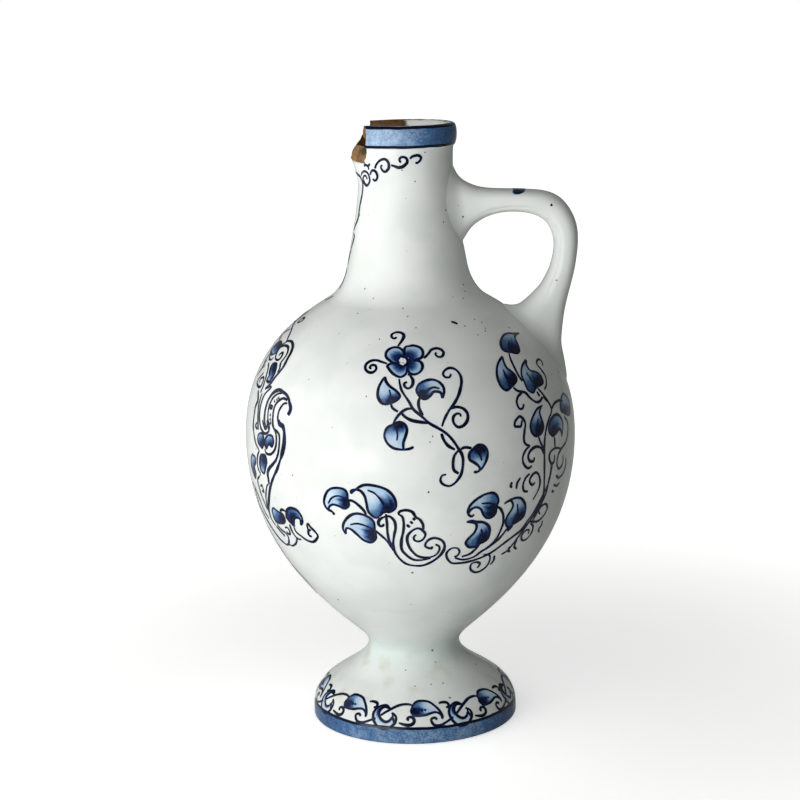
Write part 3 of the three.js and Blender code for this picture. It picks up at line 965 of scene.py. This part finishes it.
LEFT_FRAME_LOW = dict(
    dark=0.9,
    corner=(240, 420),
    scale=12.0615,
    lines=[
        "390,0 395,60 415,110 450,140 475,190 475,280 465,380 440,470 400,530 350,590",
        "415,110 435,170 440,250 430,330 400,390 360,415 320,400 300,350",
        "345,770 325,800 315,880 315,950 330,1040 355,1120 380,1190 430,1270",
        "150,740 200,850 240,950 290,1080 350,1190",
        "590,1495 590,1430 560,1370 500,1320 450,1260",
        "590,1500 640,1515 680,1480 690,1430",
        "240,0 245,60 270,130 305,165 345,140 355,80 340,0",
        "270,0 285,60 310,110 330,60 330,0",
        "165,0 165,100 175,200 195,290 225,350 235,380",
        "235,380 215,420 210,500 220,580 245,640 250,670",
        "240,670 215,720 230,800 260,900 300,1000 330,1080",
        "250,800 265,785 280,830 290,870 265,850",
        "205,30 190,70 210,110",
        "485,1100 505,1080 540,1095 555,1120",
        "650,1290 680,1350 740,1400 810,1450 880,1470 920,1440 940,1400 910,1350 850,1290 825,1250"
        " 810,1270 825,1320 860,1330",
        "850,1320 825,1340 835,1390 870,1405",
        "600,1260 620,1320 660,1390 700,1430 740,1440",
        "545,1300 570,1295 600,1340 605,1375 580,1370 565,1340",
    ],
    bold=[
        "490,470 450,590 410,680 380,760 360,850 350,950 345,1050 360,1130 375,1180",
        "440,480 400,530 350,590 335,650 345,720 350,770",
        "440,1280 490,1340 545,1400",
        "180,820 230,1000 290,1130 350,1240 420,1350 490,1440 560,1500 590,1495",
    ],
    heavy=["465,0 480,50 520,80 535,170 533,280 515,380 490,470"],
    leaves=[
        ("270,345 225,280 215,230 220,185 245,155", "270,345 285,290 285,210 270,165 245,155"),
        ("320,350 300,290 310,220 345,180", "320,350 350,290 385,320 405,260 390,195 345,180"),
        (
            "285,415 250,430 240,490 245,570 265,620 295,650",
            "285,415 310,430 325,500 310,570 300,620 295,650",
        ),
        ("190,710 165,650 140,560 135,470 150,410", "190,710 195,640 175,560 190,510 185,450 150,410"),
        ("530,1250 440,1230 400,1140 390,1080 405,1058", "530,1250 545,1210 520,1140 470,1110 405,1058"),
        (
            "655,1285 610,1240 565,1180 560,1130 570,1080 620,1060 690,1090 740,1160 755,1230 735,1270",
            "655,1285 655,1190 700,1180 730,1210 735,1270",
        ),
    ],
)

NECK_SCROLLS = dict(
    corner=(340, 145),
    scale=17.422,
    lines=[
        "290,425 330,490 375,560 400,650 400,750 385,880 355,1020 335,1150 330,1220 300,1330 270,1400"
        " 240,1490",
        "385,530 410,480 450,455 495,490 520,570 520,640 475,705 435,670 415,600 430,540 465,540 480,600",
        "445,360 480,345 510,380 515,430",
        "510,365 540,325",
        "535,520 555,460 590,440 630,470 655,540 640,600 610,620 575,590",
        "615,410 640,340 700,270 770,245 820,270 850,330 850,400 810,455 770,465 735,430 715,380 740,350",
        "890,350 950,370 1010,390 1075,385 1130,350 1170,300 1160,240 1110,210 1055,220 1035,260 1060,310",
        "1215,240 1260,200 1330,180 1385,190 1410,225 1385,280 1340,315 1315,300",
    ],
    dots="335,1200",
)

NECK_EDGE = dict(
    corner=(325, 210),
    scale=15.68,
    lines=[
        "450,370 460,420 430,540 410,610",
        "410,620 380,750 355,860",
        "340,910 340,960 310,1060 270,1160 225,1240",
        "130,1350 60,1390 0,1420",
    ],
)

# Foot and top of the scroll frame, out of sight under the lip: degrees beside the lip and heights
FRAME_ENDS = dict(
    corner=(0, 0),
    scale=1,
    lines=[
        "15.5,87 19,79 20,71 17,64 11,60 5,59 0,60",
        "0,66 5,65 9,68 9,73 5,75 2,72 4,69",
        "20,71 25,66 24,60 19,57 15,60 17,63",
        "0,60 3,55 0,50",
        "11,60 9,54 4,52 0,53",
        "5.6,168.3 3,168.9 0,169.1",
        "0,169.1 2.6,171.4 0,173.6",
    ],
)

# One repeat of the border on the foot
FOOT_BORDER = dict(
    corner=(310, 670),
    scale=14.933,
    lines=[
        "1200,580 1150,530 1080,530 1000,570 950,640 945,720 970,790 1020,850 1100,880 1190,860 1260,800"
        " 1285,730 1270,680 1220,640",
        "1190,570 1120,555 1060,590 1030,650 1045,710 1090,760 1140,775 1190,755 1230,710 1235,670",
        "1050,680 1130,630 1210,585 1300,540 1390,515 1480,515 1545,540",
        "1325,790 1400,815 1480,825 1540,800 1555,750 1530,710 1480,705 1450,735 1480,750",
    ],
    leaves=[
        (
            "1200,580 1150,530 1080,530 1000,570 950,640 945,720 970,790 1020,850 1100,880 1190,860"
            " 1260,800",
            "1190,570 1120,555 1060,590 1030,650 1045,710 1090,760 1140,775 1190,755 1230,710 1255,790",
        ),
    ],
)
FOOT_BORDER_LEAF = dict(
    corner=(410, 665),
    scale=13.635,
    lines=[
        "390,525 430,510 490,510 525,540 520,575 490,570",
        "370,745 340,720 300,730 290,760 320,810 370,825 440,810 520,760 590,710",
    ],
    leaves=[
        (
            "20,600 40,550 90,500 170,490 260,505 340,560 400,620 440,690 440,735",
            "20,600 15,640 50,690 130,695 220,680 290,655 360,645 420,680 440,735",
        ),
    ],
    ribs=["90,600 85,650", "125,590 120,655", "160,595 165,640", "200,600 215,630"],
)
BORDER_REPEATS = 8

# Pinholes, stray touches and a painted reflection of the foot border on the lower belly, in the 800 x 800
# frame
FLECKS_AND_REFLECTION = dict(
    corner=(0, 0),
    scale=1,
    lines=["451,321.7 454,322.6 457.6,324"],
    # Painted reflection of the foot border on the underside of the belly
    painted_reflection="372,611 385,609.5 400,612.5 415,610 430,613.5 445,611 458,614 472,612",
    dots="407.7,316.3 403,308.3 357.8,313.2 365,288.5 373.5,298 481.6,322.3 485,328 485,330.7 477.8,334.6"
    " 416,327.6 379.6,339 366.4,396 428.4,492 432.6,436 445.5,209.8 443.4,221.8 463,284.4 464.7,291"
    " 463,298 474.4,319.4 464.7,326 508.9,327.4 492.8,295 425,152 415,181 402,170 405.8,670 435.5,661.8"
    " 443,683 431,684 415,686 501.9,673.6 336.5,723 476,664",
)
FLECK = 0.4
HANDLE_DASH_PX, HANDLE_DASH_TURN = (512.5, 526), 0.16
HANDLE_PINHOLES_PX = [(551.3, 204.4), (556.4, 280)]
# A touch of the brush, as offsets in pixels, or in millimetres on the handle
DOT_TOUCH = np.array([[-0.5, 0], [0, 0.3], [0.5, 0]])
FLECK_TOUCH = np.array([[-0.35, 0], [0, 0.2], [0.35, 0]])
HANDLE_TOUCH = np.array([[-0.35, 0, 0], [0, 0, -0.2], [0.35, 0, 0]])
# Ink of the painted reflection of the foot border
REFLECTION_INK = 0.035
EDGE_FADE = 0.2
# Where the view through a pixel is searched for the surface, as distances before and behind the axis
SEARCH_BEFORE, SEARCH_BEHIND = 70, 110
SEARCH_STEPS, HALVINGS = 360, 20


def through_photo(pixels):
    """Points in millimetres where the view through pixels of the photograph meets the thrown surface."""
    ray = rays(pixels)
    travel = np.linspace(CAMERA_BACK - SEARCH_BEFORE, CAMERA_BACK + SEARCH_BEHIND, SEARCH_STEPS)
    spots = EYE + travel[None, :, None] * ray[:, None]
    clear = np.hypot(spots[..., 0], spots[..., 1]) - radius_at(spots[..., 2])
    far = np.where((clear < 0).any(axis=1), (clear < 0).argmax(axis=1), clear.argmin(axis=1))
    low, high = travel[np.maximum(far - 1, 0)], travel[far]
    for _ in range(HALVINGS):
        middle = (low + high) / 2
        spot = EYE + middle[:, None] * ray
        within = np.hypot(spot[:, 0], spot[:, 1]) < radius_at(spot[:, 2])
        low, high = np.where(within, low, middle), np.where(within, middle, high)
    spot = EYE + high[:, None] * ray
    spot[:, :2] *= (radius_at(spot[:, 2]) / np.hypot(spot[:, 0], spot[:, 1]))[:, None]
    return swell_lip(spot)


def beside_lip(pairs):
    """Points on the thrown surface from pairs of an angle beside the lip, in degrees, and a height."""
    turn, radius = np.radians(pairs[:, 0]), radius_at(pairs[:, 1])
    return np.column_stack([-radius * np.cos(turn), -radius * np.sin(turn), pairs[:, 1]])


def stroke(pixels, half, ink=1.0, place=through_photo):
    """One brush line: points, outward direction, half width and ink along it."""
    length = np.linalg.norm(np.diff(pixels, axis=0), axis=1).sum()
    count = max(4, int(length / PHOTO_STEP))
    spots = place(path_through(pixels, count))
    facing = outward(spots)
    share = np.linspace(0, 1, count)
    press = np.array([noise.noise(Vector((length * 3.7, s * length * 0.12, 0.5))) for s in share])
    width = half * (0.66 + 0.34 * np.sin(math.pi * share) ** 0.4) * (1 + 0.3 * press)
    return spots + facing * LINE_LIFT, facing, width, ink * (1.05 + 0.12 * press)


def leaf_wash(left, right, dark):
    """Grid between the two sides of a leaf, dark at its base and on one half."""
    a, b = path_through(left, LEAF_ROWS), path_through(right, LEAF_ROWS)
    side, along = np.meshgrid(np.linspace(0, 1, LEAF_COLUMNS), np.linspace(0, 1, LEAF_ROWS))
    spots = through_photo((a[:, None] * (1 - side[..., None]) + b[:, None] * side[..., None]).reshape(-1, 2))
    body = 0.95 - (0.8 - 0.24 * dark) * smoothstep(0.1 + 0.2 * dark, 0.46 + 0.48 * dark, along)
    body *= 0.6 + 0.2 * dark + (0.4 - 0.2 * dark) * smoothstep(0.3, 0.7, side)
    hairs = np.maximum(0, np.sin(side * 24))
    combed = hairs * np.exp(-(((along - 0.3) / 0.18) ** 2)) * smoothstep(0.4, 0.6, side)
    ink_depth = np.exp(-(((along - 0.2) / 0.18) ** 2) - ((side - 0.68) / 0.24) ** 2)
    ink = np.clip(body + 0.3 * combed + 0.5 * ink_depth, 0, 1)
    return spots + outward(spots) * WASH_LIFT, ink.ravel(), grid_faces(LEAF_ROWS, LEAF_COLUMNS)


def petal_wash(hub, outline):
    """Grid between the hub and the edge of a petal, darker at the hub."""
    rim = path_through(outline, LEAF_ROWS)
    share = np.linspace(0.3, 1, LEAF_COLUMNS)
    spots = through_photo((hub + (rim - hub)[:, None] * share[None, :, None]).reshape(-1, 2))
    ink = np.broadcast_to(0.9 - 0.66 * smoothstep(0.38, 0.92, share), (LEAF_ROWS, LEAF_COLUMNS))
    return spots + outward(spots) * WASH_LIFT, ink.ravel(), grid_faces(LEAF_ROWS, LEAF_COLUMNS)


def paint(motifs):
    """Brush lines and washes of motifs."""
    strokes, washes = [], []
    for motif in motifs:
        for key, half in (("lines", LINE), ("bold", BOLD), ("heavy", HEAVY), ("ribs", FINE)):
            strokes += [stroke(read(motif, text), half) for text in motif.get(key, [])]
        for spot in read(motif, motif["dots"]) if "dots" in motif else []:
            strokes.append(stroke(spot + DOT_TOUCH, BOLD))
        for left, right in motif.get("leaves", []):
            left, right = read(motif, left), read(motif, right)
            washes.append(leaf_wash(left, right, motif.get("dark", PALE_LEAF)))
            strokes += [stroke(left, LINE), stroke(right, LINE)]
        for left, right in motif.get("dabs", []):
            spots, ink, faces = leaf_wash(read(motif, left), read(motif, right), 0)
            washes.append((spots, ink * DAB_INK, faces))
        for hub, outline in motif.get("petals", []):
            hub, outline = read(motif, hub), read(motif, outline)
            washes.append(petal_wash(hub, outline))
            strokes.append(stroke(outline, LINE))
    return strokes, washes


def flecks():
    """Single pinholes, stray touches of the brush, and a pale painted reflection of the foot border."""
    strokes = [stroke(spot + FLECK_TOUCH, FLECK) for spot in read(FLECKS_AND_REFLECTION, FLECKS_AND_REFLECTION["dots"])]
    # Painted reflection of the foot border on the lower belly
    strokes.append(stroke(read(FLECKS_AND_REFLECTION, FLECKS_AND_REFLECTION["painted_reflection"]), BOLD, REFLECTION_INK))
    return strokes + [stroke(read(FLECKS_AND_REFLECTION, text), LINE) for text in FLECKS_AND_REFLECTION["lines"]]


def over_handle():
    """A dash of cobalt over the back of the handle, and the pinholes in its side."""
    offset = (STRAP - EYE) / ((STRAP - EYE) @ AHEAD)[..., None]
    seen = FRAME_PX / 2 + FOCAL_PX * np.stack([offset @ RIGHT, -(offset @ UP)], axis=-1)
    away = np.cross(np.gradient(STRAP, axis=0), np.roll(STRAP, -1, axis=1) - np.roll(STRAP, 1, axis=1))
    away /= np.linalg.norm(away, axis=-1, keepdims=True)
    away *= np.sign((away * (STRAP - STRAP.mean(axis=1, keepdims=True))).sum())
    start, end = (int(np.abs(seen[: STRAP_STEPS // 2, 0, 0] - x).argmin()) for x in HANDLE_DASH_PX)
    rows, reach = end - start + 1, int(HANDLE_DASH_TURN * STRAP_FACETS)
    columns = 2 * reach + 1
    spots = (STRAP + away * LINE_LIFT)[start : end + 1, np.arange(-reach, reach + 1)]
    side, along = np.meshgrid(np.linspace(-1, 1, columns), np.linspace(-1, 1, rows))
    ink = 0.96 * (1 - smoothstep(0.75, 1, np.hypot(along, side**3)))
    dash = (spots.reshape(-1, 3), ink.ravel(), grid_faces(rows, columns))
    pinholes = []
    for index, pixel in enumerate(HANDLE_PINHOLES_PX):
        apart = np.where(STRAP[..., 1] < 0, np.linalg.norm(seen - pixel, axis=-1), np.inf)
        spot = np.unravel_index(apart.argmin(), apart.shape)
        path = STRAP[spot] + LINE_LIFT * away[spot] + HANDLE_TOUCH
        width = np.full(3, FLECK * (1.5 - 0.9 * index))
        pinholes.append((path, np.broadcast_to(away[spot], (3, 3)), width, np.full(3, 1 - 0.4 * index)))
    return pinholes, [dash]


def mirrored(strokes, washes):
    """The same painting on the other side of the handle."""
    flip = np.array([1, -1, 1])
    strokes = strokes + [(spots * flip, facing * flip, width, ink) for spots, facing, width, ink in strokes]
    return strokes, washes + [(spots * flip, ink, faces[:, ::-1]) for spots, ink, faces in washes]


def geometry_tree(name, build, **inputs):
    """Geometry nodes that take the given inputs and end in a plain mesh with the glaze on it."""
    tree = bpy.data.node_groups.new(name, "GeometryNodeTree")
    tree.interface.new_socket("Geometry", in_out="INPUT", socket_type="NodeSocketGeometry")
    for key, kind in inputs.items():
        tree.interface.new_socket(key, in_out="INPUT", socket_type=f"NodeSocket{kind}")
    tree.interface.new_socket("Geometry", in_out="OUTPUT", socket_type="NodeSocketGeometry")
    entry = tree.nodes.new("NodeGroupInput")
    given = {socket.name: Value(tree, socket) for socket in entry.outputs if socket.name}
    result = build(given)
    whole = result.node("GeometryNodeRealizeInstances", {"Geometry": result})
    dressed = whole.node("GeometryNodeSetMaterial", {"Geometry": whole, "Material": given["Glaze"]})
    tree.links.new(dressed.socket, tree.nodes.new("NodeGroupOutput").inputs[0])
    return tree


def ribbons(given):
    """Every line becomes a flat ribbon that faces out of the glaze, paler at its edges."""
    line = given["Geometry"]

    def held(key, kind="FLOAT"):
        return line.node("GeometryNodeInputNamedAttribute", {"Name": key}, data_type=kind)

    path = line.node("GeometryNodeMeshToCurve", {"Mesh": line})
    facing = {"Curve": path, "Normal": held("facing", "FLOAT_VECTOR")}
    path = line.node("GeometryNodeSetCurveNormal", facing, mode="FREE")
    brush = line.node("GeometryNodeCurvePrimitiveLine", {"Start": (0, -1, 0), "End": (0, 1, 0)})
    brush = line.node("GeometryNodeResampleCurve", {"Curve": brush, "Count": 3})
    across = {"Geometry": brush, "Name": "across", "Value": line.node("GeometryNodeSplineParameter")}
    brush = line.node("GeometryNodeStoreNamedAttribute", across)
    drawn = {"Curve": path, "Profile Curve": brush, "Scale": held("half_width")}
    ribbon = line.node("GeometryNodeCurveToMesh", drawn)
    edge = line.sum_up("ABSOLUTE", held("across") * 2 - 1)
    ink = held("ink") * (1 - edge * given["Edge fade"])
    return line.node("GeometryNodeStoreNamedAttribute", {"Geometry": ribbon, "Name": "ink", "Value": ink})


def ring(given):
    """Copies of one repeat, evenly around the thrown axis."""
    one, count = given["Geometry"], given["Repeats"]
    spots = one.node("GeometryNodeMeshLine", {"Count": count, "Offset": (0, 0, 0)})
    turn = one.node("GeometryNodeInputIndex") * one.sum_up("DIVIDE", 2 * math.pi, count)
    angle = one.node("ShaderNodeCombineXYZ", {"Z": turn})
    turned_by = one.node("FunctionNodeEulerToRotation", {0: angle})
    return one.node("GeometryNodeInstanceOnPoints", {"Points": spots, "Instance": one, "Rotation": turned_by})


BRUSH = geometry_tree("brush", ribbons, **{"Edge fade": "Float", "Glaze": "Material"})
RING = geometry_tree("ring", ring, Repeats="Int", Glaze="Material")


def grow(thing, tree, **inputs):
    """Add a geometry tree to an object, with its inputs set by name."""
    modifier = thing.modifiers.new(tree.name, "NODES")
    modifier.node_group = tree
    for item in tree.interface.items_tree:
        if item.in_out == "INPUT" and item.name in inputs:
            modifier[item.identifier] = inputs[item.name]


def settle(thing):
    """Plain mesh whose faces point out of the glaze."""
    make_plain(thing)
    thing.data.shade_smooth()
    centres = np.array([face.center for face in thing.data.polygons]) / MM
    normals = np.array([face.normal for face in thing.data.polygons])
    if (outward(centres) * normals).sum() < 0:
        thing.data.flip_normals()
    return thing


def hold(mesh, key, kind, values):
    """Store values on the points of a mesh."""
    slot = mesh.attributes.new(key, kind, "POINT")
    slot.data.foreach_set("vector" if kind == "FLOAT_VECTOR" else "value", np.ravel(values))


def lay_on(name, strokes, washes, repeats=1):
    """Brush lines as one piece and washes as another, repeated around the axis."""
    lines = mesh_object(f"{name}_lines", np.vstack([s[0] for s in strokes]), [])
    starts = np.cumsum([0] + [len(s[0]) for s in strokes])
    spans = [np.arange(a, b - 1) for a, b in zip(starts, starts[1:])]
    links = np.vstack([np.column_stack([span, span + 1]) for span in spans])
    lines.data.edges.add(len(links))
    lines.data.edges.foreach_set("vertices", links.ravel().astype(np.int32))
    hold(lines.data, "facing", "FLOAT_VECTOR", np.vstack([s[1] for s in strokes]))
    hold(lines.data, "half_width", "FLOAT", np.concatenate([s[2] for s in strokes]) * MM)
    hold(lines.data, "ink", "FLOAT", np.concatenate([s[3] for s in strokes]))
    grow(lines, BRUSH, **{"Edge fade": EDGE_FADE, "Glaze": GLAZE})
    things = [lines]
    if washes:
        starts = np.cumsum([0] + [len(w[0]) for w in washes])
        faces = np.vstack([w[2] + start for w, start in zip(washes, starts)])
        wash = mesh_object(f"{name}_wash", np.vstack([w[0] for w in washes]), faces, GLAZE)
        hold(wash.data, "ink", "FLOAT", np.concatenate([w[1] for w in washes]))
        things.append(wash)
    for thing in things:
        grow(thing, RING, Repeats=repeats, Glaze=GLAZE)
        keep(settle(thing), "tin_glaze")


lay_on("foot_border", *paint([FOOT_BORDER, FOOT_BORDER_LEAF]), repeats=BORDER_REPEATS)
lay_on(
    "sprays",
    *mirrored(*paint([CENTRE_SPRAY, RIGHT_SPRAY, TOP_LEAF, LOWER_LEFT_SPRAY, LOWER_RIGHT_SPRAY])),
)
frame_strokes, frame_washes = paint([LEFT_FRAME_TOP, LEFT_FRAME_LOW])
frame_strokes += [stroke(read(FRAME_ENDS, text), LINE, place=beside_lip) for text in FRAME_ENDS["lines"]]
lay_on("scroll_frame", *mirrored(frame_strokes, frame_washes))
lay_on("neck_scrolls", *mirrored(*paint([NECK_SCROLLS, NECK_EDGE])))
# Pinholes, stray touches and the painted reflection of the foot border
lay_on("flecks", flecks(), [])
lay_on("handle_touches", *over_handle())


# Stage, in metres, with the floor in millimetres
MIRRORED_SHARE = 0.2  # of the pale background, in the gloss of the glaze
AMBIENT = 0.14
BLACK, WHITE = (0, 0, 0, 1), (1, 1, 1, 1)
PAPER_LIT, PAPER_SEEN = colour(226, 228, 226), colour(248, 248, 246)
PAPER_GLOW = 0.56
SKY_LIT = colour(200, 204, 200)
FLOOR_SPAN, FLOOR_LEVEL = 6000, -0.05
LEFT_CORNER = (-0.95, -0.45)
SCREEN_LOW, SCREEN_HIGH = 0.02, 1.02
CARD_LEVEL, CARD_AIM = 0.005, 0.4


def in_sight(start):
    """1 for what the camera sees straight or through glass, and a share for what the glaze mirrors."""
    kinds = ("Camera", "Transmission", "Glossy")
    straight, through, gloss = (start.node("ShaderNodeLightPath", output=f"Is {kind} Ray") for kind in kinds)
    return straight.most(through).most(gloss * MIRRORED_SHARE)


def stage_floor():
    """Paper that looks white, throws less light up at the jug and still takes the shadow of the foot."""

    def paper(place):
        seen = in_sight(place)
        far = place.node("ShaderNodeVectorMath", {0: place}, output=1, operation="LENGTH").ramp(0.1, 0.5)
        lift = seen * (PAPER_GLOW + (1 - PAPER_GLOW) * far)
        return {
            "Base Color": seen.mix(PAPER_LIT, PAPER_SEEN),
            "Roughness": 0.9,
            "Emission Color": lift.mix(BLACK, WHITE),
            "Emission Strength": 1.0,
        }

    signs = ((-1, -1), (1, -1), (1, 1), (-1, 1))
    corners = [(x * FLOOR_SPAN, y * FLOOR_SPAN, FLOOR_LEVEL) for x, y in signs]
    mesh_object("floor", corners, [(0, 1, 2, 3)], material("paper_floor", paper))


def lamp(name, place, target, wide, tall, brightness):
    data = bpy.data.lights.new(name, "AREA")
    data.shape, data.size, data.size_y = "RECTANGLE", wide, tall
    data.energy = math.pi * wide * tall * brightness
    thing = bpy.data.objects.new(name, data)
    thing.location = place
    thing.rotation_euler = (Vector(target) - Vector(place)).to_track_quat("-Z", "Y").to_euler()
    bpy.context.scene.collection.objects.link(thing)


def card(name, place, target, wide, tall, brightness):
    """Lit card that lies on the floor and throws light up."""
    lamp(name, (*place, CARD_LEVEL), (*target, CARD_AIM), wide, tall, brightness)


def screen(name, start, end, low, high, brightness):
    """Upright lit screen between two points of the floor, in metres."""
    a, b = Vector((*start, low)), Vector((*end, low))
    wide, tall = (b - a).length, high - low
    place = (a + b) / 2 + Vector((0, 0, tall / 2))
    facing = (b - a).cross(Vector((0, 0, 1)))
    facing *= -1 if facing.dot(place) > 0 else 1
    lamp(name, place, place + facing, wide, tall, brightness)


def world():
    """White behind the jug, and dim where it only lights."""
    sky = bpy.data.worlds.new("studio")
    bpy.context.scene.world = sky
    sky.use_nodes = True
    tree = sky.node_tree
    back = tree.nodes["Background"]
    seen = in_sight(Value(tree, back.outputs[0]))
    tint = seen.mix(SKY_LIT, WHITE)
    tree.links.new(tint.socket, back.inputs["Color"])
    tree.links.new((seen * (1 - AMBIENT) + AMBIENT).socket, back.inputs["Strength"])


def camera():
    data = bpy.data.cameras.new("photo_camera")
    data.sensor_width = 36
    data.lens = FOCAL_PX * data.sensor_width / FRAME_PX
    data.clip_start = 0.01
    thing = bpy.data.objects.new("photo_camera", data)
    turn = Matrix((RIGHT, UP, -AHEAD)).transposed().to_4x4()
    thing.matrix_world = Matrix.Translation(Vector(EYE * MM)) @ turn
    bpy.context.scene.collection.objects.link(thing)
    bpy.context.scene.camera = thing


stage_floor()
world()
screen("front_screen", (-0.19, -1.10), LEFT_CORNER, SCREEN_LOW, SCREEN_HIGH, 2.05)
screen("side_screen", LEFT_CORNER, (-0.95, 0.70), SCREEN_LOW, SCREEN_HIGH, 1.1)
card("reflector_card", (-0.36, -0.42), (-0.28, -0.32), 0.5, 0.5, 7.5)
card("foot_card", (-0.05, -0.145), (-0.05, -0.145), 0.2, 0.09, 0.9)
screen("front_fill", (-0.12, -1.10), (0.52, -1.06), 0.55, 1.4, 1.45)
camera()
bpy.context.scene.view_settings.view_transform = "Standard"
